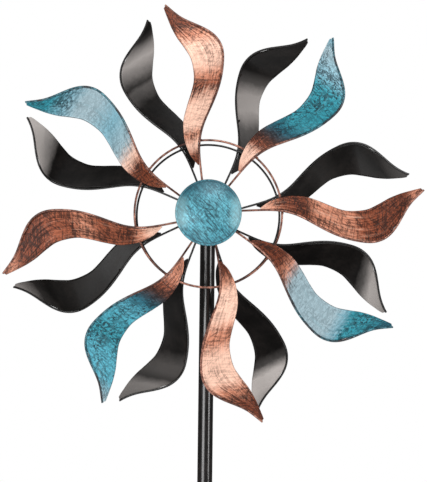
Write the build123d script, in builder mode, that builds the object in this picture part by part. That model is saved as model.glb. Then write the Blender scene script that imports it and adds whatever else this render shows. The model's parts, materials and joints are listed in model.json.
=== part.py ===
from build123d import *
import os
from math import cos, hypot, radians, sin, sqrt, tan

# Kinetic wind sculpture: two eight-leaf rotors, one behind the other, turn freely on one
# horizontal axle at the top of a garden pole. Sizes are in millimetres. +Z is up, the viewer
# stands at -Y, and the origin is on the pole's axis at ground level.

# ---- driving dimensions: the whole sculpture ----
hub_height = 1350.0
front_ring_plane = -97.0
back_ring_plane = -42.0

# ---- rotors ----
# The leaves are welded on by hand: each has its own angle, clockwise from the top as the viewer
# sees it, and sits a little further out or in than the drawing.
front_angles = (-12.5, 34.4, 82.8, 120.7, 164.6, 208.4, 252.9, 300.6)
front_reach = (0.5, 4.0, 4.0, 2.0, -1.0, 1.0, -2.0, 0.5)
back_angles = (-17.3, 29.1, 78.1, 118.3, 166.0, 205.4, 249.7, 298.4)
back_reach = (3.0, 0.0, 2.0, -3.5, -4.0, -1.0, 3.0, 3.0)
ring_radius = 104.0
ring_wire_radius = 1.5
rod_radius = 1.5
sheet_thickness = 0.8
weld_gap = 0.05

# ---- a leaf's bend: it rises towards its own face, bellies, then falls away to the tip ----
inner_slope = 10.0
outer_slope = 14.5
rod_foot = 29.0
rod_bend = 38.0
belly_start = 130.0
belly_end = 215.0
crest_end = 232.0
leaf_end = 320.0

# ---- hub, with a bearing pressed into each end ----
barrel_radius = 14.0
barrel_front = -10.0
barrel_back = 15.0
shoulder_radius = 9.5
flange_radius = 36.0
flange_thickness = 2.5
flange_fillet = 1.2
bearing_outer_radius = 11.0
bearing_bore_radius = 4.0
bearing_width = 7.0
bearing_inset = 0.5
race_land_inner = 6.1
race_land_outer = 8.9
ball_pitch_radius = 7.5
ball_radius = 2.0
ball_count = 7
race_clearance = 0.06
press_clearance = 0.01

# ---- axle and what it clamps ----
axle_radius = 3.98
axle_front = -119.0
axle_rear = 23.0
axle_chamfer = 0.8
spacer_radius = 6.0
washer_radius = 8.0
washer_thickness = 1.6
nut_across_flats = 13.0
lock_nut_height = 8.0
lock_nut_collar = 1.8
rear_nut_height = 6.5
saddle_radius = 9.0
saddle_depth = 3.0
bore_clearance = 0.12

# ---- cap ----
cap_radius = 46.3
cap_bead_radius = 1.8
cap_rise = 12.0
cap_sheet = 1.0
cap_offset = -25.0
carrier_sheet = 1.2
carrier_grip = 8.0

# ---- pole ----
pole_radius = 11.1
pole_wall = 1.2
pole_section = 457.2
pole_edge = 0.4
plug_rise = 3.5
plug_depth = 12.0
plug_wall = 2.0
joiner_length = 90.0
joiner_wall = 1.8
slip = 0.05
screw_offset = 22.0
screw_radius = 2.0
screw_head_radius = 3.8
screw_head_height = 2.2
socket_radius = 1.2
socket_depth = 1.3

# ---- stake ----
plate_length = 130.0
plate_width = 36.0
plate_thickness = 4.0
plate_corner = 12.0
spigot_length = 120.0
spigot_wall = 2.0
prong_radius = 4.5
prong_length = 250.0
prong_point = 28.0
prong_tip_radius = 0.8
prong_spacing = 50.0

# ---- derived places ----
inner_rise = tan(radians(inner_slope))
outer_fall = tan(radians(outer_slope))
belly_curve = (belly_end - belly_start) / sin(radians(inner_slope))
crest_curve = (crest_end - belly_end) / sin(radians(outer_slope))
rod_at_ring = -(rod_radius + ring_wire_radius + weld_gap) / cos(radians(inner_slope))
rod_at_hub = rod_at_ring + (ring_radius - rod_bend) * inner_rise
deepest_set = -min(front_reach + back_reach) * inner_rise
flange_face = rod_at_hub + rod_radius + weld_gap + deepest_set
pole_foot = plate_thickness
pole_top = pole_foot + 3 * pole_section
pole_bore = pole_radius - pole_wall
front_bearing = barrel_front + bearing_inset + bearing_width / 2
rear_bearing = barrel_back - bearing_inset - bearing_width / 2
saddle_face = pole_radius + saddle_depth


# The rod along a leaf's outer edge: sideways offset and distance from the axle. The back
# rotor's leaves are the same up to a tip that is cut a little shorter.
rod_sweep = (
    (1.2, 48.0),
    (3.0, 68.5),
    (7.4, 97.0),
    (17.0, 121.0),
    (32.6, 143.7),
    (54.0, 177.5),
    (63.5, 203.0),
    (66.4, 221.0),
    (61.5, 240.5),
    (35.2, 266.7),
)
front_tip = ((17.0, 282.0), (5.0, 297.5), (0.8, 303.2))
back_tip = ((17.6, 280.0), (6.4, 292.0), (2.6, 297.4))
first_welded = 4

# The sheet's free edges, in the same coordinates, without the last stretch to the tip.
sheet_root = ((0.8, 70.0), (2.4, 84.0), (4.6, 98.0), (9.8, 112.0), (19.2, 127.0))
sheet_inner_edge = (
    (0.8, 277.5),
    (7.1, 251.0),
    (17.8, 225.0),
    (20.6, 208.5),
    (19.5, 192.5),
    (12.6, 173.0),
    (1.8, 153.5),
    (-7.0, 136.0),
    (-11.4, 112.0),
    (-9.8, 92.0),
    (-3.9, 76.0),
)
tip_blunting = 2.6


def leaf_depth(radius):
    """Depth of a leaf's middle surface behind the ring plane, at a distance from the axle."""
    if radius <= rod_bend:
        return rod_at_hub
    if radius <= belly_start:
        return rod_at_hub - (radius - rod_bend) * inner_rise
    belly_depth = rod_at_hub - (belly_start - rod_bend) * inner_rise
    crest_depth = belly_depth - belly_curve * (1 - cos(radians(inner_slope)))
    if radius <= belly_end:
        return crest_depth + belly_curve - sqrt(belly_curve**2 - (belly_end - radius) ** 2)
    if radius <= crest_end:
        return crest_depth + crest_curve - sqrt(crest_curve**2 - (radius - belly_end) ** 2)
    fall_depth = crest_depth + crest_curve * (1 - cos(radians(outer_slope)))
    return fall_depth + (radius - crest_end) * outer_fall


def on_leaf(course):
    """The points of a flat course, laid on the bent leaf."""
    return [(side, leaf_depth(radius), radius) for side, radius in course]


def beside(course, index, distance):
    """A point beside a course, at right angles to it and towards the leaf's sheet."""
    before = course[index - 1]
    after = course[min(index + 1, len(course) - 1)]
    run = (after[0] - before[0], after[1] - before[1])
    length = hypot(*run)
    side = course[index][0] - distance * run[1] / length
    radius = course[index][1] + distance * run[0] / length
    return (side, radius)


def export_piece(piece, name):
    """Labels a finished piece and writes its STEP file."""
    piece.part.label = name
    export_step(piece.part, f"parts/{name}.step")


def front_place(offset=0.0):
    """A place on the front rotor's axis, at a depth behind its ring."""
    return Location((0, front_ring_plane + offset, hub_height))


def back_place(offset=0.0):
    """The same place on the back rotor, which is a front rotor turned to face the other way."""
    return Location((0, back_ring_plane - offset, hub_height), (0, 0, 180))


def front_leaf_place(index):
    """The place of one front leaf and its rod, moved out along the rod's slope by its reach."""
    turned = Location((0, front_ring_plane, hub_height), (0, front_angles[index], 0))
    return turned * Location((0, -front_reach[index] * inner_rise, front_reach[index]))


def back_leaf_place(index):
    """The place of one back leaf and its rod."""
    turned = Location((0, back_ring_plane, hub_height), (0, back_angles[index], 180))
    return turned * Location((0, -back_reach[index] * inner_rise, back_reach[index]))


os.makedirs("parts", exist_ok=True)

# ==== blanks that both rotors share, made about the origin with the axle along Y ====

bend_plane = Plane(origin=(0, 0, 0), x_dir=(0, 0, 1), z_dir=(-1, 0, 0))


def leaf_sheet(rod_course):
    """A leaf's bent sheet, which fills the space between its rod and its inner edge."""
    tip_side, tip_radius = beside(rod_course, len(rod_course) - 1, tip_blunting)
    welded_edge = [
        beside(rod_course, index, rod_radius + weld_gap)
        for index in range(first_welded, len(rod_course))
    ]
    with BuildPart() as sheet:
        with BuildSketch(bend_plane):
            with BuildLine():
                rise = Line(
                    (rod_bend, leaf_depth(rod_bend)),
                    (belly_start, leaf_depth(belly_start)),
                )
                belly = TangentArc(
                    rise @ 1, (belly_end, leaf_depth(belly_end)), tangent=rise % 1
                )
                crest = TangentArc(
                    belly @ 1, (crest_end, leaf_depth(crest_end)), tangent=belly % 1
                )
                Line(crest @ 1, (leaf_end, leaf_depth(leaf_end)))
            trace(line_width=sheet_thickness)
        extrude(amount=leaf_end / 2, both=True)
        with BuildSketch(Plane.XZ):
            with BuildLine():
                outer_edge = Spline(*sheet_root, *welded_edge)
                inner_edge = Spline(
                    (tip_side, tip_radius - tip_blunting), *sheet_inner_edge
                )
                Spline(
                    outer_edge @ 1,
                    inner_edge @ 0,
                    tangents=(outer_edge % 1, inner_edge % 0),
                )
                Line(inner_edge @ 1, outer_edge @ 0)
            make_face()
        extrude(amount=leaf_end, both=True, mode=Mode.INTERSECT)
    return sheet


def edge_rod(rod_course):
    """A leaf's rod, from its foot on the hub's flange to the leaf's tip."""
    with BuildPart() as rod:
        with BuildLine() as rod_path:
            foot = Line(
                (0, rod_at_hub, rod_foot), (0, rod_at_hub, rod_bend - 2 * rod_radius)
            )
            Spline(foot @ 1, *on_leaf(rod_course))
        with BuildSketch(Plane(origin=foot @ 0, z_dir=foot % 0)):
            Circle(rod_radius)
        sweep(path=rod_path.wires()[0])
    return rod


front_sheet_blank = leaf_sheet(rod_sweep + front_tip)
back_sheet_blank = leaf_sheet(rod_sweep + back_tip)
front_rod_blank = edge_rod(rod_sweep + front_tip)
back_rod_blank = edge_rod(rod_sweep + back_tip)

with BuildPart() as ring_blank:
    with BuildSketch(Plane.XY) as ring_section:
        with Locations((ring_radius, 0)):
            Circle(ring_wire_radius)
    revolve(axis=Axis.Y)

with BuildPart() as hub_blank:
    with BuildSketch(Plane.XY) as barrel_section:
        with Locations((0, barrel_front)):
            Rectangle(barrel_radius, barrel_back - barrel_front, align=Align.MIN)
        with Locations((0, flange_face)):
            Rectangle(flange_radius, flange_thickness, align=Align.MIN)
    revolve(axis=Axis.Y)
    root_edges = [
        edge
        for edge in edges().filter_by(GeomType.CIRCLE)
        if abs(edge.radius - barrel_radius) < weld_gap
        and abs(edge.center().Y - flange_face) < weld_gap
    ]
    fillet(root_edges, flange_fillet)
    with BuildSketch(Plane.XY) as bore_section:
        with Locations((0, barrel_front)):
            Rectangle(shoulder_radius, barrel_back - barrel_front, align=Align.MIN)
        with Locations((0, front_bearing), (0, rear_bearing)):
            Rectangle(
                bearing_outer_radius,
                bearing_width + 2 * bearing_inset,
                align=(Align.MIN, Align.CENTER),
            )
    revolve(axis=Axis.Y, mode=Mode.SUBTRACT)

with BuildPart() as outer_race_blank:
    with BuildSketch(Plane.XY) as outer_race_section:
        race_depth = bearing_outer_radius - press_clearance - race_land_outer
        with Locations((race_land_outer + race_depth / 2, 0)):
            Rectangle(race_depth, bearing_width)
        with Locations((ball_pitch_radius, 0)):
            Circle(ball_radius + race_clearance, mode=Mode.SUBTRACT)
    revolve(axis=Axis.Y)

with BuildPart() as inner_race_blank:
    with BuildSketch(Plane.XY) as inner_race_section:
        inner_depth = race_land_inner - bearing_bore_radius
        with Locations((bearing_bore_radius + inner_depth / 2, 0)):
            Rectangle(inner_depth, bearing_width)
        with Locations((ball_pitch_radius, 0)):
            Circle(ball_radius + race_clearance, mode=Mode.SUBTRACT)
    revolve(axis=Axis.Y)

with BuildPart(Plane.XZ) as ball_set_blank:
    with PolarLocations(ball_pitch_radius, ball_count):
        Sphere(ball_radius)

# ==== leaves, rods, rings and hubs ====

for index in range(len(front_angles)):
    with BuildPart() as front_leaf:
        with Locations(front_leaf_place(index)):
            add(front_sheet_blank.part)
    export_piece(front_leaf, f"front_leaf_{index + 1}")

    with BuildPart() as front_rod:
        with Locations(front_leaf_place(index)):
            add(front_rod_blank.part)
    export_piece(front_rod, f"front_rod_{index + 1}")

for index in range(len(back_angles)):
    with BuildPart() as back_leaf:
        with Locations(back_leaf_place(index)):
            add(back_sheet_blank.part)
    export_piece(back_leaf, f"back_leaf_{index + 1}")

    with BuildPart() as back_rod:
        with Locations(back_leaf_place(index)):
            add(back_rod_blank.part)
    export_piece(back_rod, f"back_rod_{index + 1}")

with BuildPart() as front_ring:
    with Locations(front_place()):
        add(ring_blank.part)
export_piece(front_ring, "front_ring")

with BuildPart() as back_ring:
    with Locations(back_place()):
        add(ring_blank.part)
export_piece(back_ring, "back_ring")

with BuildPart() as front_hub:
    with Locations(front_place()):
        add(hub_blank.part)
export_piece(front_hub, "front_hub")

with BuildPart() as back_hub:
    with Locations(back_place()):
        add(hub_blank.part)
export_piece(back_hub, "back_hub")

# ==== ball bearings ====

front_bearing_places = (front_place(front_bearing), front_place(rear_bearing))
back_bearing_places = (back_place(front_bearing), back_place(rear_bearing))

with BuildPart() as front_bearing_outer_rings:
    with Locations(*front_bearing_places):
        add(outer_race_blank.part)
export_piece(front_bearing_outer_rings, "front_bearing_outer_rings")

with BuildPart() as back_bearing_outer_rings:
    with Locations(*back_bearing_places):
        add(outer_race_blank.part)
export_piece(back_bearing_outer_rings, "back_bearing_outer_rings")

with BuildPart() as front_bearing_balls:
    with Locations(*front_bearing_places):
        add(ball_set_blank.part)
export_piece(front_bearing_balls, "front_bearing_balls")

with BuildPart() as back_bearing_balls:
    with Locations(*back_bearing_places):
        add(ball_set_blank.part)
export_piece(back_bearing_balls, "back_bearing_balls")

with BuildPart() as bearing_inner_rings:
    with Locations(*front_bearing_places, *back_bearing_places):
        add(inner_race_blank.part)
export_piece(bearing_inner_rings, "bearing_inner_rings")

# ==== cap and its carrier, on the front hub ====

with BuildPart() as cap:
    with BuildSketch(Plane.XY) as cap_section:
        bead_centre = cap_radius - cap_bead_radius
        with BuildLine():
            outside = TangentArc(
                (0, -cap_rise), (bead_centre, -cap_bead_radius / 2), tangent=(1, 0)
            )
            inside = TangentArc(
                (0, cap_sheet - cap_rise),
                (bead_centre, cap_sheet - cap_bead_radius / 2),
                tangent=(1, 0),
            )
            Line(outside @ 0, inside @ 0)
            Line(outside @ 1, inside @ 1)
        make_face()
        with Locations((bead_centre, 0)):
            Circle(cap_bead_radius)
    revolve(axis=Axis.Y)
with BuildPart() as front_cap:
    with Locations(front_place(cap_offset)):
        add(cap.part)
export_piece(front_cap, "front_cap")

with BuildPart() as carrier_blank:
    with BuildSketch(Plane.XY) as carrier_section:
        carrier_bore = barrel_radius + press_clearance
        flange_reach = cap_radius - 2 * cap_bead_radius - weld_gap - carrier_bore
        with Locations((carrier_bore, cap_offset)):
            Rectangle(
                carrier_sheet,
                barrel_front + carrier_grip - cap_offset,
                align=Align.MIN,
            )
            Rectangle(flange_reach, carrier_sheet, align=Align.MIN)
    revolve(axis=Axis.Y)
with BuildPart() as cap_carrier:
    with Locations(front_place()):
        add(carrier_blank.part)
export_piece(cap_carrier, "cap_carrier")

# ==== axle, spacers, washers and nuts ====


def axle_plane(offset):
    """The plane square to the axle at a depth, facing backwards."""
    return Plane(origin=(0, offset, hub_height), x_dir=(1, 0, 0), z_dir=(0, 1, 0))


def tube_sketch(outer_radius, inner_radius):
    """Fills the sketch that is open with a round ring."""
    Circle(outer_radius)
    Circle(inner_radius, mode=Mode.SUBTRACT)


with BuildPart() as axle:
    with BuildSketch(axle_plane(axle_front)):
        Circle(axle_radius)
    extrude(amount=axle_rear - axle_front)
    chamfer(axle.edges().filter_by(GeomType.CIRCLE), axle_chamfer)
export_piece(axle, "axle")

back_rear_face = back_ring_plane - front_bearing + bearing_width / 2
back_front_face = back_ring_plane - rear_bearing - bearing_width / 2
front_rear_face = front_ring_plane + rear_bearing + bearing_width / 2
front_front_face = front_ring_plane + front_bearing - bearing_width / 2
spacer_bore = axle_radius + bore_clearance

with BuildPart() as rear_spacer:
    with BuildSketch(axle_plane(back_rear_face)):
        tube_sketch(spacer_radius, spacer_bore)
    extrude(amount=-saddle_face - back_rear_face)
export_piece(rear_spacer, "rear_spacer")

with BuildPart() as middle_spacer:
    with BuildSketch(axle_plane(front_rear_face)):
        tube_sketch(spacer_radius, spacer_bore)
    extrude(amount=back_front_face - front_rear_face)
export_piece(middle_spacer, "middle_spacer")

with BuildPart() as hub_spacers:
    with BuildSketch(
        axle_plane(front_front_face + bearing_width),
        axle_plane(back_front_face + bearing_width),
    ):
        tube_sketch(spacer_radius, spacer_bore)
    extrude(amount=rear_bearing - front_bearing - bearing_width)
export_piece(hub_spacers, "hub_spacers")

with BuildPart() as front_washer:
    with BuildSketch(axle_plane(front_front_face - washer_thickness)):
        tube_sketch(washer_radius, spacer_bore)
    extrude(amount=washer_thickness)
export_piece(front_washer, "front_washer")

nut_corner_radius = nut_across_flats / sqrt(3)
lock_nut_back = front_front_face - washer_thickness

with BuildPart() as lock_nut:
    with BuildSketch(axle_plane(lock_nut_back - lock_nut_height)):
        Circle(nut_across_flats / 2 - lock_nut_collar / 2)
    extrude(amount=lock_nut_height)
    with BuildSketch(axle_plane(lock_nut_back - lock_nut_height + lock_nut_collar)):
        RegularPolygon(nut_corner_radius, 6)
    extrude(amount=lock_nut_height - lock_nut_collar)
    with BuildSketch(axle_plane(lock_nut_back - lock_nut_height)):
        Circle(spacer_bore)
    extrude(amount=lock_nut_height, mode=Mode.SUBTRACT)
export_piece(lock_nut, "lock_nut")

with BuildPart() as rear_nut:
    with BuildSketch(axle_plane(saddle_face)):
        RegularPolygon(nut_corner_radius, 6)
        Circle(spacer_bore, mode=Mode.SUBTRACT)
    extrude(amount=rear_nut_height)
export_piece(rear_nut, "rear_nut")

with BuildPart() as saddle_washers:
    with BuildSketch(axle_plane(0)):
        tube_sketch(saddle_radius, spacer_bore)
    extrude(amount=saddle_face, both=True)
    with BuildSketch(Plane.XY.offset(hub_height - saddle_radius)):
        Circle(pole_radius + weld_gap)
    extrude(amount=2 * saddle_radius, mode=Mode.SUBTRACT)
export_piece(saddle_washers, "saddle_washers")

# ==== pole ====


def pole_tube(bottom, cross_holes):
    """One pole section, with its end edges broken and its holes drilled from the back.

    Each hole is its height, its radius and how deep the drill goes.
    """
    with BuildPart() as tube:
        with BuildSketch(Plane.XY.offset(bottom)):
            tube_sketch(pole_radius, pole_bore)
        extrude(amount=pole_section)
        rims = [
            edge
            for edge in tube.edges().filter_by(GeomType.CIRCLE)
            if abs(edge.radius - pole_radius) < weld_gap
        ]
        chamfer(rims, pole_edge)
        for height, hole_radius, depth in cross_holes:
            with BuildSketch(Plane(origin=(0, 2 * pole_radius, height), z_dir=(0, -1, 0))):
                Circle(hole_radius)
            extrude(amount=depth, mode=Mode.SUBTRACT)
    return tube


upper_joint = pole_top - pole_section
lower_joint = upper_joint - pole_section
screw_heights = [
    joint + side * screw_offset for joint in (upper_joint, lower_joint) for side in (-1, 1)
]
screw_hole = screw_radius + bore_clearance
one_wall = 2 * pole_radius
both_walls = 4 * pole_radius

upper_pole = pole_tube(
    upper_joint,
    [
        (hub_height, axle_radius + bore_clearance, both_walls),
        (upper_joint + screw_offset, screw_hole, one_wall),
    ],
)
export_piece(upper_pole, "upper_pole")

middle_pole = pole_tube(
    lower_joint,
    [
        (upper_joint - screw_offset, screw_hole, one_wall),
        (lower_joint + screw_offset, screw_hole, one_wall),
    ],
)
export_piece(middle_pole, "middle_pole")

lower_pole = pole_tube(pole_foot, [(lower_joint - screw_offset, screw_hole, one_wall)])
export_piece(lower_pole, "lower_pole")

with BuildPart() as pole_plug:
    with BuildSketch(Plane.XZ):
        with BuildLine():
            Polyline(
                (0, pole_top - plug_depth),
                (0, pole_top + plug_rise),
            )
            dome = TangentArc(
                (0, pole_top + plug_rise), (pole_radius, pole_top + slip), tangent=(1, 0)
            )
            Polyline(
                dome @ 1,
                (pole_bore - slip, pole_top + slip),
                (pole_bore - slip, pole_top - plug_depth),
                (0, pole_top - plug_depth),
            )
        make_face()
    revolve(axis=Axis.Z)
    with BuildSketch(Plane.XY.offset(pole_top - plug_depth)):
        Circle(pole_bore - slip - plug_wall)
    extrude(amount=plug_depth - plug_wall, mode=Mode.SUBTRACT)
export_piece(pole_plug, "pole_plug")

with BuildPart() as pole_joiners:
    with BuildSketch(
        Plane.XY.offset(upper_joint - joiner_length / 2),
        Plane.XY.offset(lower_joint - joiner_length / 2),
    ):
        tube_sketch(pole_bore - slip, pole_bore - slip - joiner_wall)
    extrude(amount=joiner_length)
    for screw_height in screw_heights:
        with BuildSketch(
            Plane(origin=(0, 2 * pole_radius, screw_height), z_dir=(0, -1, 0))
        ):
            Circle(screw_radius + slip)
        extrude(amount=one_wall, mode=Mode.SUBTRACT)
export_piece(pole_joiners, "pole_joiners")

with BuildPart() as joiner_screws:
    with BuildSketch(
        *[
            Plane(origin=(0, pole_radius, height), z_dir=(0, 1, 0))
            for height in screw_heights
        ]
    ):
        Circle(screw_head_radius)
    extrude(amount=screw_head_height)
    with BuildSketch(
        *[
            Plane(origin=(0, pole_radius, height), z_dir=(0, 1, 0))
            for height in screw_heights
        ]
    ):
        Circle(screw_radius)
    extrude(amount=-(pole_wall + joiner_wall))
    with BuildSketch(
        *[
            Plane(
                origin=(0, pole_radius + screw_head_height - socket_depth, height),
                z_dir=(0, 1, 0),
            )
            for height in screw_heights
        ]
    ):
        RegularPolygon(socket_radius, 6)
    extrude(amount=socket_depth, mode=Mode.SUBTRACT)
export_piece(joiner_screws, "joiner_screws")

# ==== ground stake ====

with BuildPart() as stake_spigot:
    with BuildSketch(Plane.XY.offset(plate_thickness)):
        tube_sketch(pole_bore - slip, pole_bore - slip - spigot_wall)
    extrude(amount=spigot_length)
export_piece(stake_spigot, "stake_spigot")

with BuildPart() as step_plate:
    with BuildSketch(Plane.XY):
        RectangleRounded(plate_length, plate_width, plate_corner)
    extrude(amount=plate_thickness)
export_piece(step_plate, "step_plate")

with BuildPart() as stake_prongs:
    with BuildSketch(Plane.XY):
        with GridLocations(prong_spacing, 0, 3, 1):
            Circle(prong_radius)
    extrude(amount=-(prong_length - prong_point))
    for side in (-1, 0, 1):
        with BuildSketch(
            Plane((side * prong_spacing, 0, prong_point - prong_length))
        ):
            Circle(prong_radius)
        with BuildSketch(Plane((side * prong_spacing, 0, -prong_length))):
            Circle(prong_tip_radius)
        loft()
export_piece(stake_prongs, "stake_prongs")
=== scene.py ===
import json
import random
from math import cos, pi, radians, sin, sqrt, tan

import bpy
import numpy as np
from mathutils import Matrix, Vector


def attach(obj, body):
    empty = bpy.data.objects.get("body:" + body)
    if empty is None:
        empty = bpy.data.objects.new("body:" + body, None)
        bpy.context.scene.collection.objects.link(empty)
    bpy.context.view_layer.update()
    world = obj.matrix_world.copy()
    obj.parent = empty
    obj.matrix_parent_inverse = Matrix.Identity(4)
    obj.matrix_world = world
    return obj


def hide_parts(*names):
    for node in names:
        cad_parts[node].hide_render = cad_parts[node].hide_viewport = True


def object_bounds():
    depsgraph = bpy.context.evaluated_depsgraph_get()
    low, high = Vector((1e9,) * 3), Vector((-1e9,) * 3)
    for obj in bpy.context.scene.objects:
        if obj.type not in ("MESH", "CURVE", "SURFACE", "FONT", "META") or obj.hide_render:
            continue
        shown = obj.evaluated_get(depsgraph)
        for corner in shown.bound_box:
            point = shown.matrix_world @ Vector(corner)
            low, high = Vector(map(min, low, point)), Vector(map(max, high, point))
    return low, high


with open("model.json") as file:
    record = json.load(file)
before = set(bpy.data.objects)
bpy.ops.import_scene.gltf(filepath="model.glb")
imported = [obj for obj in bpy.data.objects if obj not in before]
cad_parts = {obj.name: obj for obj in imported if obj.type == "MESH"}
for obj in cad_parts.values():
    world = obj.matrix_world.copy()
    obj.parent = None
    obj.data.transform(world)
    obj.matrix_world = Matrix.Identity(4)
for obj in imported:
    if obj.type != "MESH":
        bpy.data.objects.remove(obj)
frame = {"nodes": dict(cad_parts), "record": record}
cad_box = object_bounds()

# ---- sizes shared with the part, in millimetres ----
HUB = 1350.0
FRONT_PLANE = -97.0
BACK_PLANE = -42.0
FRONT_ANGLES = (-12.5, 34.4, 82.8, 120.7, 164.6, 208.4, 252.9, 300.6)
FRONT_REACH = (0.5, 4.0, 4.0, 2.0, -1.0, 1.0, -2.0, 0.5)
BACK_ANGLES = (-17.3, 29.1, 78.1, 118.3, 166.0, 205.4, 249.7, 298.4)
BACK_REACH = (3.0, 0.0, 2.0, -3.5, -4.0, -1.0, 3.0, 3.0)
DEEPEST_REACH = min(FRONT_REACH + BACK_REACH)
FOOT_BEADS = (32.2, 34.2)
RING_RADIUS = 104.0
WIRE = 1.5
WELD_GAP = 0.05
SHEET = 0.8
INNER_SLOPE = radians(10.0)
OUTER_SLOPE = radians(14.5)
ROD_BEND = 38.0
BELLY_START = 130.0
BELLY_END = 215.0
CREST_END = 232.0
INNER_RISE = tan(INNER_SLOPE)
BELLY_CURVE = (BELLY_END - BELLY_START) / sin(INNER_SLOPE)
CREST_CURVE = (CREST_END - BELLY_END) / sin(OUTER_SLOPE)
ROD_AT_RING = -(2 * WIRE + WELD_GAP) / cos(INNER_SLOPE)
ROD_AT_HUB = ROD_AT_RING + (RING_RADIUS - ROD_BEND) * INNER_RISE
LEAF_SPAN = 42.0
LENGTH_UNIT = 320.0
MM = 0.001

# ---- sizes of the visual model alone, in millimetres ----
LEAF_ROWS = 150
LEAF_COLUMNS = 14
SHEET_CUP = 0.45
CUP_SHARE = 0.6
FULL_CUP_WIDTH = 30.0
SHEET_RIPPLE = 0.10
RIPPLE_LENGTH = 9.0
SHEET_LAP = 1.3
DRAWN_THICKNESS = 0.9
CROSSING_SIDE = 9.3
CROSSING_BEADS = (-1.7, 1.7)
CROSSING_LIFT = 0.2
EDGE_BEADS = ((30.4, 144.6), (62.4, 206.0))
BEAD_LIFT = 0.9
PATINA_FADE = 24
TIP_TURNS_TEAL = (232, 250)
FLOOR_RADIUS = 3400.0
FLOOR_DROP = 0.5

# Points across the leaf, rod edge then free edge, from root to tip: (side, radius) each.
STATIONS = (
    (0.8, 70.0, 0.2, 69.6),
    (2.4, 84.0, -7.5, 84.0),
    (4.6, 98.0, -11.0, 100.0),
    (9.8, 112.0, -11.4, 114.0),
    (19.2, 127.0, -7.8, 134.0),
    (31.4, 144.6, 1.2, 153.0),
    (42.0, 162.0, 11.0, 170.5),
    (52.4, 178.5, 18.0, 186.0),
    (62.0, 203.0, 20.5, 203.0),
    (64.8, 221.0, 19.8, 218.0),
    (60.2, 239.6, 15.5, 231.0),
    (48.5, 252.3, 11.5, 241.0),
    (34.2, 265.5, 7.0, 252.0),
)
FRONT_END = (
    (16.0, 280.7, 2.6, 268.0),
    (5.4, 293.5, -0.2, 284.5),
    (1.6, 298.6, -1.5, 293.5),
    (-0.2, 301.0, -2.2, 299.2),
)
BACK_END = (
    (16.4, 278.5, 2.8, 266.5),
    (7.0, 288.5, 0.6, 280.0),
    (3.4, 292.9, -0.5, 288.0),
    (1.4, 295.2, -0.6, 293.3),
)


def leaf_depth(radius):
    """Depth of a leaf's middle surface behind its ring plane."""
    if radius <= BELLY_START:
        return ROD_AT_HUB - (radius - ROD_BEND) * INNER_RISE
    belly = ROD_AT_HUB - (BELLY_START - ROD_BEND) * INNER_RISE
    crest = belly - BELLY_CURVE * (1 - cos(INNER_SLOPE))
    if radius <= BELLY_END:
        return crest + BELLY_CURVE - sqrt(BELLY_CURVE**2 - (BELLY_END - radius) ** 2)
    if radius <= CREST_END:
        return crest + CREST_CURVE - sqrt(CREST_CURVE**2 - (radius - BELLY_END) ** 2)
    fall = crest + CREST_CURVE * (1 - cos(OUTER_SLOPE))
    return fall + (radius - CREST_END) * tan(OUTER_SLOPE)


def rotor_place(plane, angle, reach, turned):
    """Matrix of one leaf: turned about the axle, then moved out along its rod's slope."""
    m = Matrix.Translation(Vector((0, plane, HUB)) * MM) @ Matrix.Rotation(radians(angle), 4, "Y")
    if turned:
        m = m @ Matrix.Rotation(pi, 4, "Z")
    return m @ Matrix.Translation(Vector((0, -reach * INNER_RISE, reach)) * MM)


def place(index, back):
    if back:
        return rotor_place(BACK_PLANE, BACK_ANGLES[index], BACK_REACH[index], True)
    return rotor_place(FRONT_PLANE, FRONT_ANGLES[index], FRONT_REACH[index], False)


# ---- material graphs ----


def linear(r, g, b):
    """An sRGB colour given as 0 to 255, as the renderer's linear values."""
    return tuple(
        v / 255 / 12.92 if v <= 10 else ((v / 255 + 0.055) / 1.055) ** 2.4 for v in (r, g, b)
    ) + (1.0,)


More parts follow.
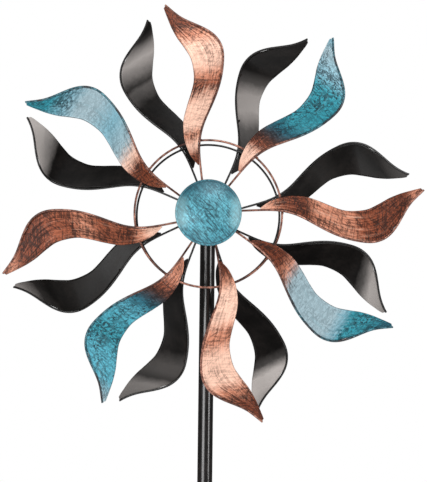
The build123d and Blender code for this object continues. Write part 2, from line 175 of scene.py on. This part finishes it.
class Graph:
    """Short names for the shader nodes a material here uses."""

    def __init__(self, name):
        self.material = bpy.data.materials.new(name)
        self.material.use_nodes = True
        self.tree = self.material.node_tree
        self.shader = self.tree.nodes["Principled BSDF"]

    def put(self, socket, value):
        if hasattr(value, "is_output"):
            self.tree.links.new(value, socket)
        else:
            socket.default_value = value

    def add(self, kind, inputs=None, **settings):
        node = self.tree.nodes.new(kind)
        for key, value in settings.items():
            setattr(node, key, value)
        for key, value in (inputs or {}).items():
            self.put(node.inputs[key], value)
        return node

    def set(self, **inputs):
        for key, value in inputs.items():
            self.put(self.shader.inputs[key.replace("_", " ")], value)

    def uv(self):
        return self.add("ShaderNodeUVMap", uv_map="lay").outputs[0]

    def place(self):
        return self.add("ShaderNodeTexCoord").outputs["Object"]

    def split(self, vector):
        return self.add("ShaderNodeSeparateXYZ", {0: vector}).outputs

    def mapped(self, vector, scale, offset=(0, 0, 0), turn=None):
        if turn:
            vector = self.add("ShaderNodeMapping", {"Vector": vector, "Rotation": turn}).outputs[0]
        return self.add(
            "ShaderNodeMapping", {"Vector": vector, "Scale": scale, "Location": offset}
        ).outputs[0]

    def noise(self, vector, scale=1.0, detail=4.0, rough=0.6, twist=0.0):
        return self.add(
            "ShaderNodeTexNoise",
            {
                "Vector": vector,
                "Scale": scale,
                "Detail": detail,
                "Roughness": rough,
                "Distortion": twist,
            },
        ).outputs[0]

    def math(self, operation, a, b=0.0):
        return self.add("ShaderNodeMath", {0: a, 1: b}, operation=operation).outputs[0]

    def reach(self, x, z):
        """Distance from an axis, by the two coordinates across it."""
        squares = [self.math("MULTIPLY", v, v) for v in (x, z)]
        return self.math("SQRT", self.math("ADD", *squares))

    def span(self, value, low, high, to_low=0.0, to_high=1.0):
        return self.add(
            "ShaderNodeMapRange",
            {0: value, 1: low, 2: high, 3: to_low, 4: to_high},
            interpolation_type="SMOOTHSTEP",
        ).outputs[0]

    def ramp(self, value, stops):
        node = self.add("ShaderNodeValToRGB", {0: value})
        ramp = node.color_ramp
        while len(ramp.elements) < len(stops):
            ramp.elements.new(0.5)
        for element, (where, colour) in zip(ramp.elements, stops):
            element.position = where
            element.color = colour
        return node.outputs[0]

    def mix(self, factor, a, b, blend="MIX"):
        node = self.add("ShaderNodeMix", data_type="RGBA", blend_type=blend)
        self.put(node.inputs[0], factor)
        self.put(node.inputs[6], a)
        self.put(node.inputs[7], b)
        return node.outputs[2]

    def bump(self, height, strength, distance=0.0002):
        return self.add(
            "ShaderNodeBump", {"Height": height, "Strength": strength, "Distance": distance}
        ).outputs[0]


# ---- leaf finishes: colour stops by distance from the axle, in millimetres, patina colour with painted highlights and shade ----

# The pale pink, mist and pale teal colours are patina colours used as painted highlights on the
# leaves.
PINK_SHEEN = linear(250, 203, 180)
COPPER = linear(214, 141, 112)
RUST = linear(164, 90, 62)
BROWN = linear(136, 68, 42)
UMBER = linear(80, 50, 42)
COPPER_SHADE = linear(34, 17, 13)
TEAL_SHADE = linear(12, 28, 36)
TEAL = linear(50, 144, 160)
BRIGHT_TEAL = linear(84, 168, 188)
DEEP_TEAL = linear(36, 98, 116)
MIST_SHEEN = linear(160, 184, 193)
PALE_TEAL_SHEEN = linear(126, 174, 190)

# Patina colour along each leaf, with painted highlights in the pale fields and painted shade in
# some dark bands, where the leaf's bends catch or miss the light.
FRONT_PATINA_AND_SHADING_STOPS = (
    ((66, BROWN), (84, RUST), (98, PINK_SHEEN), (113, COPPER), (124, PINK_SHEEN), (152, PINK_SHEEN),
     (176, RUST), (190, COPPER), (206, PINK_SHEEN), (232, PINK_SHEEN), (250, COPPER), (266, BROWN),
     (296, BROWN)),
    ((66, COPPER), (84, PINK_SHEEN), (102, PINK_SHEEN), (116, RUST), (130, UMBER), (150, DEEP_TEAL),
     (170, TEAL), (208, TEAL), (232, TEAL), (250, PALE_TEAL_SHEEN), (284, MIST_SHEEN),
     (298, PALE_TEAL_SHEEN)),
    ((66, PINK_SHEEN), (86, COPPER), (100, RUST), (116, BROWN), (132, BROWN), (148, COPPER),
     (170, COPPER), (192, COPPER), (208, RUST), (228, BROWN), (250, BROWN),
     (274, BROWN), (290, COPPER), (300, BROWN)),
    ((66, RUST), (84, BROWN), (104, BROWN), (118, BROWN), (133, COPPER), (149, MIST_SHEEN),
     (180, MIST_SHEEN), (222, MIST_SHEEN), (236, PALE_TEAL_SHEEN), (244, TEAL), (270, TEAL),
     (292, DEEP_TEAL)),
    ((66, BROWN), (84, BROWN), (100, COPPER), (114, PINK_SHEEN), (150, PINK_SHEEN), (166, COPPER),
     (178, COPPER), (198, PINK_SHEEN), (232, PINK_SHEEN), (250, COPPER), (268, BROWN),
     (290, BROWN)),
    ((66, COPPER), (84, COPPER), (100, COPPER), (116, RUST), (130, UMBER),
     (150, DEEP_TEAL), (168, BRIGHT_TEAL), (214, TEAL), (240, BRIGHT_TEAL),
     (270, BRIGHT_TEAL), (296, MIST_SHEEN)),
    ((66, PINK_SHEEN), (86, PINK_SHEEN), (100, COPPER), (114, BROWN), (132, RUST), (152, RUST),
     (174, COPPER), (192, RUST), (214, RUST), (236, BROWN), (270, BROWN),
     (288, COPPER), (300, BROWN)),
    ((66, COPPER), (84, RUST), (103, BROWN), (118, RUST), (132, PINK_SHEEN), (149, MIST_SHEEN),
     (180, PALE_TEAL_SHEEN), (212, MIST_SHEEN), (232, MIST_SHEEN), (250, PALE_TEAL_SHEEN), (272, TEAL),
     (292, TEAL)),
)
# Leaves whose middle carries a painted highlight; their crackle is weaker there.
SHEEN_MIDDLE = (3, 7)
HATCH_START = (0, 128, 0, 146, 0, 128, 0, 146)


def front_finish(index):
    """Patina paint over steel: a base colour along the leaf with painted highlights and shade in
    it, wiped and scratched by hand.
    """
    teal = index % 2 == 1
    g = Graph(f"front_leaf_finish_{index + 1}")
    along, across, _ = g.split(g.uv())
    seed = 17.0 * index + 3.0
    flat = g.mapped(g.uv(), (LENGTH_UNIT, LEAF_SPAN, 1.0), (0, 0, seed))
    grain = g.noise(g.mapped(flat, (0.016, 0.34, 1)), 1.0, 8.0, 0.75, 0.3)
    fine = g.noise(g.mapped(flat, (0.045, 0.95, 1)), 1.0, 6.0, 0.72)
    weft = g.noise(g.mapped(flat, (0.36, 0.035, 1), turn=(0, 0, 0.22)), 1.0, 4.0, 0.7)
    weave = g.noise(g.mapped(flat, (0.30, 0.06, 1), turn=(0, 0, -0.6)), 1.0, 4.0, 0.7)
    mottle = g.noise(g.mapped(flat, (0.30, 0.30, 1)), 1.0, 2.5, 0.65, 0.4)
    cloud = g.noise(g.mapped(flat, (0.03, 0.05, 1)), 1.0, 3.0, 0.5)
    ragged = g.math("ADD", g.math("MULTIPLY", grain, 0.10), g.math("MULTIPLY", mottle, 0.05))
    level = g.math("SUBTRACT", g.math("ADD", along, ragged), 0.075)
    # Ramp of patina colours holding the painted highlight and shade fields along the leaf.
    patina_and_sheen = g.ramp(level, [(r / LENGTH_UNIT, colour) for r, colour in FRONT_PATINA_AND_SHADING_STOPS[index]])

    light = linear(150, 200, 212) if teal else linear(255, 214, 190)
    streaks = g.span(grain, 0.50, 0.60)
    threads = g.span(fine, 0.50, 0.59)
    crossing = g.math("MAXIMUM", g.span(weft, 0.50, 0.57), g.span(weave, 0.51, 0.58))
    specks = g.span(mottle, 0.48, 0.60)
    start = HATCH_START[index]
    painted = g.span(along, start / LENGTH_UNIT, (start + PATINA_FADE) / LENGTH_UNIT)
    depth = g.add("ShaderNodeRGBToBW", {0: patina_and_sheen}).outputs[0]
    wear = g.math("ADD", g.math("MULTIPLY", streaks, 0.40), g.math("MULTIPLY", threads, 0.40))
    wear = g.math("ADD", wear, g.math("MULTIPLY", crossing, 0.42))
    wear = g.math("MULTIPLY", wear, g.span(depth, 0.60, 0.10, 0.75, 2.2))
    soot = g.math("MULTIPLY", g.math("MULTIPLY", specks, 0.80), g.span(depth, 0.30, 0.10))
    wear = g.math("MAXIMUM", wear, soot)
    dark = COPPER_SHADE
    if teal:
        crackle = g.math("MAXIMUM", g.math("MULTIPLY", crossing, 0.8), specks)
        crackle = g.math("MULTIPLY", crackle, 0.92)
        # Crackle fades inside the painted highlight in the middle of these leaves, up to where the
        # tip turns teal.
        if index in SHEEN_MIDDLE:
            low, high = (radius / LENGTH_UNIT for radius in TIP_TURNS_TEAL)
            crackle_under_sheen = g.span(along, low, high, 0.42, 1.0)
            crackle = g.math("MULTIPLY", crackle, crackle_under_sheen)
        bare = g.math("MULTIPLY", wear, g.math("SUBTRACT", 1.0, painted))
        wear = g.math("ADD", g.math("MULTIPLY", crackle, painted), bare)
        dark = g.mix(painted, COPPER_SHADE, TEAL_SHADE)
    wear = g.math("MULTIPLY", wear, g.span(cloud, 0.36, 0.60, 0.6, 1.05))
    colour = g.mix(g.math("MINIMUM", wear, 0.90), patina_and_sheen, dark)
    shine = g.math("MULTIPLY", g.span(grain, 0.48, 0.36), 0.22 if teal else 0.34)
    shine = g.math("MULTIPLY", shine, g.span(depth, 0.06, 0.34, 0.12, 1.0))
    colour = g.mix(shine, colour, light)
    # Painted shade: a thin dark line along both long edges of the sheet.
    edge_shade = g.math("ADD", g.span(across, 0.05, 0.0), g.span(across, 0.965, 1.0))
    colour = g.mix(g.math("MULTIPLY", edge_shade, 0.55), colour, linear(50, 30, 26))

    g.set(Base_Color=colour, Metallic=0.22, Anisotropic=0.5, Specular_IOR_Level=0.25)
    wiped = g.math("ADD", g.math("MULTIPLY", streaks, 0.5), mottle)
    g.set(Roughness=g.span(wiped, 0.2, 1.0, 0.36, 0.56))
    tangent = g.add("ShaderNodeTangent", direction_type="UV_MAP", uv_map="lay").outputs[0]
    g.set(Tangent=tangent)
    relief = g.math("ADD", g.math("MULTIPLY", fine, 0.5), g.math("MULTIPLY", grain, 0.8))
    g.set(Normal=g.bump(relief, 0.28, 0.00025))
    return g.material


def black_finish(
    name, flow, warm=1.0, rough=0.27, coat=0.2, relief=0.16, gloss=0.5, sheen_zones=()
):
    """Black-brown powder coat: orange peel, faint dust and rubbed spots. Sheen zones are painted
    reflections: pale grey fields painted along a leaf: (radius in millimetres, grey 0 to 255)
    each."""
    g = Graph(name)
    where = flow(g)
    peel = g.noise(where, 420.0, 3.0, 0.55)
    dust = g.noise(where, 46.0, 6.0, 0.7)
    rub = g.noise(g.mapped(where, (1, 1, 0.25)), 900.0, 4.0, 0.7)
    base = g.mix(g.span(dust, 0.42, 0.72), linear(13, 11, 10), linear(25 * warm, 21, 19))
    base = g.mix(g.math("MULTIPLY", g.span(rub, 0.60, 0.74), 0.30), base, linear(52, 41, 37))
    # Painted reflection: pale warm-grey fields added along the leaf by radius, leaning a little
    # across it.
    if sheen_zones:
        along, across, _ = g.split(g.uv())
        drift = g.math("MULTIPLY", g.math("SUBTRACT", dust, 0.5), 0.05)
        lean = g.math("MULTIPLY", g.math("SUBTRACT", across, 0.5), -0.045)
        level = g.math("ADD", along, g.math("ADD", drift, lean))
        sheen_greys = [linear(v * 1.01, v * 0.975, v * 0.955) for _, v in sheen_zones]
        stops = [(r / LENGTH_UNIT, grey) for (r, _), grey in zip(sheen_zones, sheen_greys)]
        base = g.mix(1.0, g.ramp(level, stops), base, "ADD")
    g.set(Base_Color=base, Roughness=g.span(dust, 0.25, 0.8, rough, rough + 0.13))
    g.set(Specular_IOR_Level=gloss, Coat_Weight=coat, Coat_Roughness=0.14)
    g.set(Normal=g.bump(g.math("ADD", peel, g.math("MULTIPLY", rub, 0.3)), relief, 0.0002))
    return g.material


def copper_wire(name, painted=False):
    """Copper-brown wire: rubbed bright in spots, darkened in scattered patches. A painted one
    goes over to teal along its outer part, like the leaf that it edges."""
    g = Graph(name)
    where = g.place()
    worn = g.noise(where, 160.0, 5.0, 0.7)
    burn = g.noise(where, 24.0, 3.0, 0.6)
    base = g.mix(g.span(worn, 0.40, 0.62), linear(92, 56, 46), linear(176, 124, 106))
    if painted:
        x, _, z = g.split(where)
        rise = g.math("SUBTRACT", z, HUB * MM)
        out = g.reach(x, rise)
        teal = g.mix(g.span(worn, 0.42, 0.60), linear(30, 62, 72), linear(88, 136, 148))
        edge = g.math("ADD", out, g.math("MULTIPLY", burn, 0.02))
        base = g.mix(g.span(edge, 0.150, 0.190), base, teal)
    base = g.mix(g.math("MULTIPLY", g.span(burn, 0.50, 0.64), 0.8), base, linear(58, 37, 33))
    g.set(Base_Color=base, Metallic=0.45, Roughness=g.span(worn, 0.3, 0.7, 0.48, 0.30))
    g.set(Normal=g.bump(worn, 0.25, 0.0002))
    return g.material


def cap_finish():
    """The cap's teal: dark slanting hatch, painted highlights on the sides, painted shade towards
    the top and a crazed middle.
    """
    g = Graph("cap_teal")
    where = g.mapped(g.place(), (1000, 1000, 1000), (0, 0, -HUB))
    slant = g.noise(g.mapped(where, (0.58, 0.1, 0.07), turn=(0, 0.75, 0)), 1.0, 4.0, 0.7)
    counter = g.noise(g.mapped(where, (0.52, 0.1, 0.08), turn=(0, -0.62, 0)), 1.0, 4.0, 0.7)
    mottle = g.noise(where, 0.36, 3.0, 0.7, 0.5)
    cloud = g.noise(where, 0.03, 3.0, 0.5)
    base = g.mix(g.span(cloud, 0.35, 0.65), linear(86, 174, 194), linear(106, 186, 204))
    back_hatch = g.math("MULTIPLY", g.span(counter, 0.50, 0.59), 0.7)
    hatch = g.math("MAXIMUM", g.span(slant, 0.48, 0.57), back_hatch)
    hatch = g.math("MAXIMUM", hatch, g.math("MULTIPLY", g.span(mottle, 0.50, 0.58), 0.7))
    base = g.mix(g.math("MULTIPLY", hatch, 0.85), base, linear(18, 46, 56))
    x, _, z = g.split(where)
    out = g.reach(x, z)
    seam = g.math("MULTIPLY", g.span(out, 41.6, 42.8), g.span(out, 44.2, 43.2))
    base = g.mix(g.math("MULTIPLY", seam, 0.7), base, linear(22, 50, 60))
    base = g.mix(g.math("MULTIPLY", g.span(out, 30.0, 42.0), 0.35), base, linear(46, 96, 112))
    # Painted shade: the cap darkened towards its top.
    base = g.mix(g.math("MULTIPLY", g.span(z, 10.0, 36.0), 0.62), base, linear(30, 74, 88))
    # Painted highlights: pale fields on the left and right of the dome, about its middle height.
    aside = g.span(g.math("ABSOLUTE", x), 24.0, 37.0)
    level = g.span(g.math("ABSOLUTE", z), 28.0, 14.0)
    side_highlights = g.math("MULTIPLY", aside, level)
    base = g.mix(g.math("MULTIPLY", side_highlights, 0.42), base, linear(150, 192, 198))
    cracks = g.add(
        "ShaderNodeTexVoronoi",
        {"Vector": where, "Scale": 0.05},
        feature="DISTANCE_TO_EDGE",
    ).outputs[0]
    craze = g.math("MULTIPLY", g.span(cracks, 0.042, 0.012), g.span(out, 24.0, 10.0))
    craze = g.math("MULTIPLY", craze, g.span(z, -6.0, 5.0))
    base = g.mix(g.math("MULTIPLY", craze, 0.70), base, linear(22, 34, 38))
    g.set(Base_Color=base, Metallic=0.25, Roughness=g.span(mottle, 0.3, 0.7, 0.34, 0.5))
    g.set(Coat_Weight=0.05, Coat_Roughness=0.25)
    g.set(Normal=g.bump(g.math("SUBTRACT", mottle, g.math("MULTIPLY", hatch, 0.3)), 0.2, 0.0003))
    return g.material


def bare_metal(name, tint, low, high):
    """Ground or plated steel with fine turning marks and a little grime."""
    g = Graph(name)
    where = g.place()
    turning = g.noise(g.mapped(where, (1, 0.05, 1)), 1500.0, 3.0, 0.6)
    grime = g.noise(where, 90.0, 5.0, 0.65)
    base = g.mix(g.math("MULTIPLY", g.span(grime, 0.52, 0.74), 0.6), tint, linear(92, 86, 78))
    g.set(Base_Color=base, Metallic=0.92, Roughness=g.span(grime, 0.3, 0.7, low, high))
    g.set(Normal=g.bump(turning, 0.12, 0.0001))
    return g.material


def moulded_plastic():
    g = Graph("black_plastic")
    where = g.place()
    texture = g.noise(where, 1400.0, 3.0, 0.6)
    bloom = g.noise(where, 60.0, 4.0, 0.6)
    base = g.mix(g.span(bloom, 0.4, 0.7), linear(24, 24, 25), linear(44, 43, 42))
    g.set(Base_Color=base, Roughness=g.span(bloom, 0.3, 0.7, 0.46, 0.62))
    g.set(Normal=g.bump(texture, 0.2, 0.0002))
    return g.material


def weld_finish(name, cool, hot):
    g = Graph(name)
    where = g.place()
    scale = g.noise(where, 700.0, 5.0, 0.7)
    base = g.mix(g.span(scale, 0.4, 0.62), cool, hot)
    g.set(Base_Color=base, Metallic=0.2, Roughness=g.span(scale, 0.3, 0.7, 0.75, 0.55))
    g.set(Specular_IOR_Level=0.25)
    g.set(Normal=g.bump(scale, 0.4, 0.0003))
    return g.material


def by_lay(graph):
    return graph.mapped(graph.uv(), (LENGTH_UNIT * MM, LEAF_SPAN * MM, 1.0))


def by_place(graph):
    return graph.place()


FINISH = {
    "copper_wire": copper_wire("copper_wire"),
    "espresso_black": black_finish("espresso_black", by_place),
    "pole_black": black_finish("pole_black", by_place, 1.15, 0.26, 0.9, 0.0),
    "bright_steel": bare_metal("bright_steel", linear(205, 206, 208), 0.16, 0.34),
    "zinc_steel": bare_metal("zinc_steel", linear(178, 180, 184), 0.28, 0.46),
    "black_plastic": moulded_plastic(),
    "teal_patina": cap_finish(),
}
BACK_LEAF_FINISH = black_finish("back_leaf_black", by_lay)
# Painted reflections for the front faces of the back leaves: pale grey fields by radius, one list
# per leaf.
BACK_SHEEN_ZONES = (
    ((110, 0), (184, 0), (197, 66), (207, 80), (213, 36), (221, 74), (248, 152),
     (262, 116), (276, 30), (284, 0)),
    ((110, 0), (140, 66), (164, 146), (186, 142), (204, 66), (222, 0)),
    ((110, 10), (150, 16), (170, 34), (200, 6), (262, 0), (290, 60)),
    ((110, 0), (234, 0), (246, 84), (262, 164), (290, 140)),
    ((110, 0), (218, 0), (232, 60), (247, 180), (270, 172), (294, 126)),
    ((110, 0), (200, 0), (222, 66), (234, 64), (246, 44), (262, 112), (290, 96)),
    ((110, 0), (190, 22), (220, 20), (250, 0), (268, 30), (292, 128)),
    ((110, 0), (234, 0), (246, 114), (266, 156), (292, 168)),
)

TEAL_WIRE = copper_wire("teal_edged_wire", painted=True)
TEAL_EDGED = [f"front_rod_{number}" for number in (2, 4, 6, 8)]
for entry in frame["record"]["subparts"]:
    node = frame["nodes"][entry["node"]]
    finish = TEAL_WIRE if entry["node"] in TEAL_EDGED else FINISH.get(entry["material_slot"])
    if finish:
        for held in node.material_slots:
            held.material = finish

# ---- leaves: sheet with a slightly cupped section, laid on the part's bend ----


def smooth_course(points, count):
    """Points spread evenly in parameter along a smooth curve through the given ones."""
    points = np.array(points, float)
    t = np.arange(len(points))
    slopes = np.gradient(points, axis=0)
    rows = []
    for s in np.linspace(0, len(points) - 1, count):
        i = min(int(s), len(points) - 2)
        u = s - i
        rows.append(
            points[i] * (2 * u**3 - 3 * u**2 + 1)
            + slopes[i] * (u**3 - 2 * u**2 + u)
            + points[i + 1] * (3 * u**2 - 2 * u**3)
            + slopes[i + 1] * (u**3 - u**2)
        )
    return np.array(rows)


def leaf_mesh(name, back, index):
    """One leaf as a closed thin sheet, with a UV lay that runs along it."""
    rng = random.Random(40 + index + (10 if back else 0))
    ends = BACK_END if back else FRONT_END
    rows = smooth_course(STATIONS + ends, LEAF_ROWS)
    columns = LEAF_COLUMNS
    wave_phase = rng.uniform(0, 2 * pi)
    vertices = []
    lays = []
    for face in (-1, 1):
        for row in rows:
            width = sqrt((row[0] - row[2]) ** 2 + (row[1] - row[3]) ** 2)
            lap = SHEET_LAP / width
            for c in range(columns + 1):
                v = c / columns
                across = v - lap * (1 - v)
                side = row[0] + (row[2] - row[0]) * across
                radius = row[1] + (row[3] - row[1]) * across
                hollow = SHEET_CUP * (1 - (2 * v - 1) ** 2) * min(1.0, width / FULL_CUP_WIDTH)
                ripple = SHEET_RIPPLE * sin(radius / RIPPLE_LENGTH + wave_phase) * sin(pi * v)
                depth = leaf_depth(radius) + hollow * CUP_SHARE + ripple
                depth += face * SHEET / 2 * DRAWN_THICKNESS
                vertices.append(Vector((side, depth, radius)) * MM)
                lays.append((radius / LENGTH_UNIT, v))
    per_side = len(rows) * (columns + 1)
    faces = []

    def at(face, r, c):
        return face * per_side + r * (columns + 1) + c

    last = len(rows) - 1
    for r in range(last):
        for c in range(columns):
            faces.append((at(0, r, c), at(0, r + 1, c), at(0, r + 1, c + 1), at(0, r, c + 1)))
            faces.append((at(1, r, c), at(1, r, c + 1), at(1, r + 1, c + 1), at(1, r + 1, c)))
    for r in range(last):
        faces.append((at(0, r, 0), at(1, r, 0), at(1, r + 1, 0), at(0, r + 1, 0)))
        end = columns
        faces.append((at(0, r, end), at(0, r + 1, end), at(1, r + 1, end), at(1, r, end)))
    for c in range(columns):
        faces.append((at(0, 0, c), at(0, 0, c + 1), at(1, 0, c + 1), at(1, 0, c)))
        faces.append((at(0, last, c + 1), at(0, last, c), at(1, last, c), at(1, last, c + 1)))
    mesh = bpy.data.meshes.new(name)
    mesh.from_pydata(vertices, [], faces)
    layer = mesh.uv_layers.new(name="lay")
    for loop in mesh.loops:
        layer.data[loop.index].uv = lays[loop.vertex_index]
    flat_faces = 2 * last * columns
    for polygon in mesh.polygons:
        polygon.use_smooth = polygon.index < flat_faces
    mesh.transform(place(index, back))
    leaf = bpy.data.objects.new(name, mesh)
    bpy.context.scene.collection.objects.link(leaf)
    return leaf


for index in range(8):
    leaf = leaf_mesh(f"front_sheet_{index + 1}", False, index)
    leaf.data.materials.append(front_finish(index))
    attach(leaf, "front_rotor")
    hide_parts(f"front_leaf_{index + 1}")
    leaf = leaf_mesh(f"back_sheet_{index + 1}", True, index)
    sheen_zones = BACK_SHEEN_ZONES[index]
    leaf.data.materials.append(BACK_LEAF_FINISH)
    # The front faces of each back leaf get the painted reflection fields; rear faces and edges
    # stay plain black.
    sheen_material_name = f"back_leaf_sheen_{index + 1}"
    leaf.data.materials.append(
        black_finish(sheen_material_name, by_lay, coat=0.03, gloss=0.18, sheen_zones=sheen_zones)
    )
    for polygon in leaf.data.polygons:
        polygon.material_index = 1 if polygon.use_smooth and polygon.normal.y < 0 else 0
    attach(leaf, "back_rotor")
    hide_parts(f"back_leaf_{index + 1}")

# ---- welds: lumpy beads where each rod crosses its ring, meets its hub and holds its leaf ----


def blob(radius, stretch, centre, matrix, rng):
    """One small lump of weld metal."""
    bpy.ops.mesh.primitive_ico_sphere_add(subdivisions=3, radius=1.0)
    lump = bpy.context.object
    phase = [rng.uniform(0, 6) for _ in range(3)]
    for vertex in lump.data.vertices:
        p = vertex.co.copy()
        swell = 1 + 0.10 * sin(4 * p.x + phase[0]) * cos(3 * p.z + phase[1])
        swell += 0.05 * sin(9 * p.y + phase[2])
        shape = Vector((p.x * stretch[0], p.y * stretch[1], p.z * stretch[2]))
        vertex.co = shape * radius * swell
    lump.data.transform(matrix @ Matrix.Translation(Vector(centre) * MM) @ Matrix.Scale(MM, 4))
    for polygon in lump.data.polygons:
        polygon.use_smooth = True
    return lump


def weld_set(name, back, finish, body):
    """All of one rotor's welds, joined into one piece."""
    rng = random.Random(7 if back else 5)
    lumps = []
    for index in range(8):
        m = place(index, back)
        reach = (BACK_REACH if back else FRONT_REACH)[index]
        for side in CROSSING_BEADS:
            depth = ROD_AT_RING / 2 + CROSSING_LIFT
            middle = (CROSSING_SIDE + side, depth, RING_RADIUS - reach)
            lumps.append(blob(1.55, (1.2, 1.0, 1.0), middle, m, rng))
        standoff = WELD_GAP + (reach - DEEPEST_REACH) * INNER_RISE
        thick = 0.8 + standoff / 3.0
        for foot in FOOT_BEADS:
            depth = ROD_AT_HUB + BEAD_LIFT + standoff / 2
            middle = (rng.uniform(-0.4, 0.4), depth, foot - reach)
            lumps.append(blob(1.5, (1.3, thick, 1.5), middle, m, rng))
        for side, radius in EDGE_BEADS:
            middle = (side, leaf_depth(radius) + BEAD_LIFT, radius)
            lumps.append(blob(1.25, (1.1, 0.8, 1.7), middle, m, rng))
    bpy.ops.object.select_all(action="DESELECT")
    for lump in lumps:
        lump.select_set(True)
    bpy.context.view_layer.objects.active = lumps[0]
    bpy.ops.object.join()
    welds = bpy.context.object
    welds.name = name
    welds.data.materials.clear()
    welds.data.materials.append(finish)
    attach(welds, body)


copper_weld = weld_finish("copper_weld", linear(58, 34, 28), linear(150, 96, 76))
black_weld = weld_finish("black_weld", linear(16, 13, 12), linear(46, 38, 34))
weld_set("front_welds", False, copper_weld, "front_rotor")
weld_set("back_welds", True, black_weld, "back_rotor")

# ---- studio: pale floor, bright surround, three softboxes ----


def studio_floor():
    g = Graph("floor_paper")
    g.set(Emission_Color=linear(255, 255, 255), Emission_Strength=0.12)
    soft = g.noise(g.place(), 2.2, 3.0, 0.5)
    g.set(Base_Color=g.mix(soft, linear(244, 244, 244), linear(250, 250, 250)), Roughness=0.8)
    floor_level = cad_box[0][2] - FLOOR_DROP * MM
    bpy.ops.mesh.primitive_circle_add(
        vertices=96, radius=FLOOR_RADIUS * MM, fill_type="NGON", location=(0, 0, floor_level)
    )
    disc = bpy.context.object
    disc.name = "studio_floor"
    disc.data.materials.append(g.material)


def softbox(name, azimuth, elevation, distance, width, height, power):
    """A rectangular light aimed at the hub, in degrees, metres and watts. The azimuth turns
    from the front towards the right-hand side."""
    target = Vector((0, FRONT_PLANE, HUB)) * MM
    a = radians(azimuth)
    e = radians(elevation)
    away = Vector((sin(a) * cos(e), -cos(a) * cos(e), sin(e)))
    data = bpy.data.lights.new(name, "AREA")
    data.shape = "RECTANGLE"
    data.size = width
    data.size_y = height
    data.energy = power
    light = bpy.data.objects.new(name, data)
    bpy.context.scene.collection.objects.link(light)
    facing = away.to_track_quat("Z", "Y").to_matrix().to_4x4()
    light.matrix_world = Matrix.Translation(target + away * distance) @ facing


studio_floor()
softbox("top_box", azimuth=10, elevation=42, distance=2.6, width=1.5, height=0.9, power=34)
softbox("left_box", azimuth=-33, elevation=-9, distance=2.8, width=1.7, height=1.2, power=34)
softbox("right_box", azimuth=57, elevation=0, distance=2.6, width=0.5, height=1.7, power=20)

world = bpy.data.worlds.new("studio")
bpy.context.scene.world = world
world.use_nodes = True
sky = world.node_tree
sky.nodes.clear()


def backdrop(colour, strength):
    shader = sky.nodes.new("ShaderNodeBackground")
    shader.inputs[0].default_value = colour
    shader.inputs[1].default_value = strength
    return shader


# White to the camera, dimmer as light on the part, dimmer still in its reflections.
WARM_WHITE = (1, 0.99, 0.98, 1)
seen = backdrop((1, 1, 1, 1), 1.0)
fill = backdrop(WARM_WHITE, 0.42)
mirrored = backdrop(WARM_WHITE, 0.07)
path = sky.nodes.new("ShaderNodeLightPath")
indirect = sky.nodes.new("ShaderNodeMixShader")
choose = sky.nodes.new("ShaderNodeMixShader")
out = sky.nodes.new("ShaderNodeOutputWorld")
sky.links.new(path.outputs["Is Glossy Ray"], indirect.inputs[0])
sky.links.new(fill.outputs[0], indirect.inputs[1])
sky.links.new(mirrored.outputs[0], indirect.inputs[2])
sky.links.new(path.outputs["Is Camera Ray"], choose.inputs[0])
sky.links.new(indirect.outputs[0], choose.inputs[1])
sky.links.new(seen.outputs[0], choose.inputs[2])
sky.links.new(choose.outputs[0], out.inputs[0])
bpy.context.scene.view_settings.view_transform = "Standard"

# ---- camera: a little below the hub, looking slightly up ----

# Fitted to the photograph: place in millimetres, turns in degrees, focal length in pixels.
CAMERA_PLACE = (-8.4, -1692.4, 1249.1)
CAMERA_TURNS = (0.58, 2.24, 0.69)
FOCAL_PIXELS = 1133.9
PHOTO_HEIGHT = 482.0

yaw, pitch, roll = (radians(turn) for turn in CAMERA_TURNS)
forward = Vector((sin(yaw) * cos(pitch), cos(yaw) * cos(pitch), sin(pitch)))
level_right = Vector((cos(yaw), -sin(yaw), 0))
level_up = level_right.cross(forward)
right = level_right * cos(roll) + level_up * sin(roll)
up = level_up * cos(roll) - level_right * sin(roll)
camera_data = bpy.data.cameras.new("view_camera")
camera_data.sensor_width = 36.0
camera_data.lens = camera_data.sensor_width * FOCAL_PIXELS / PHOTO_HEIGHT
camera_data.clip_end = 50.0
camera = bpy.data.objects.new("view_camera", camera_data)
bpy.context.scene.collection.objects.link(camera)
turn = Matrix((right, up, -forward)).transposed().to_4x4()
camera.matrix_world = Matrix.Translation(Vector(CAMERA_PLACE) * MM) @ turn
bpy.context.scene.camera = camera
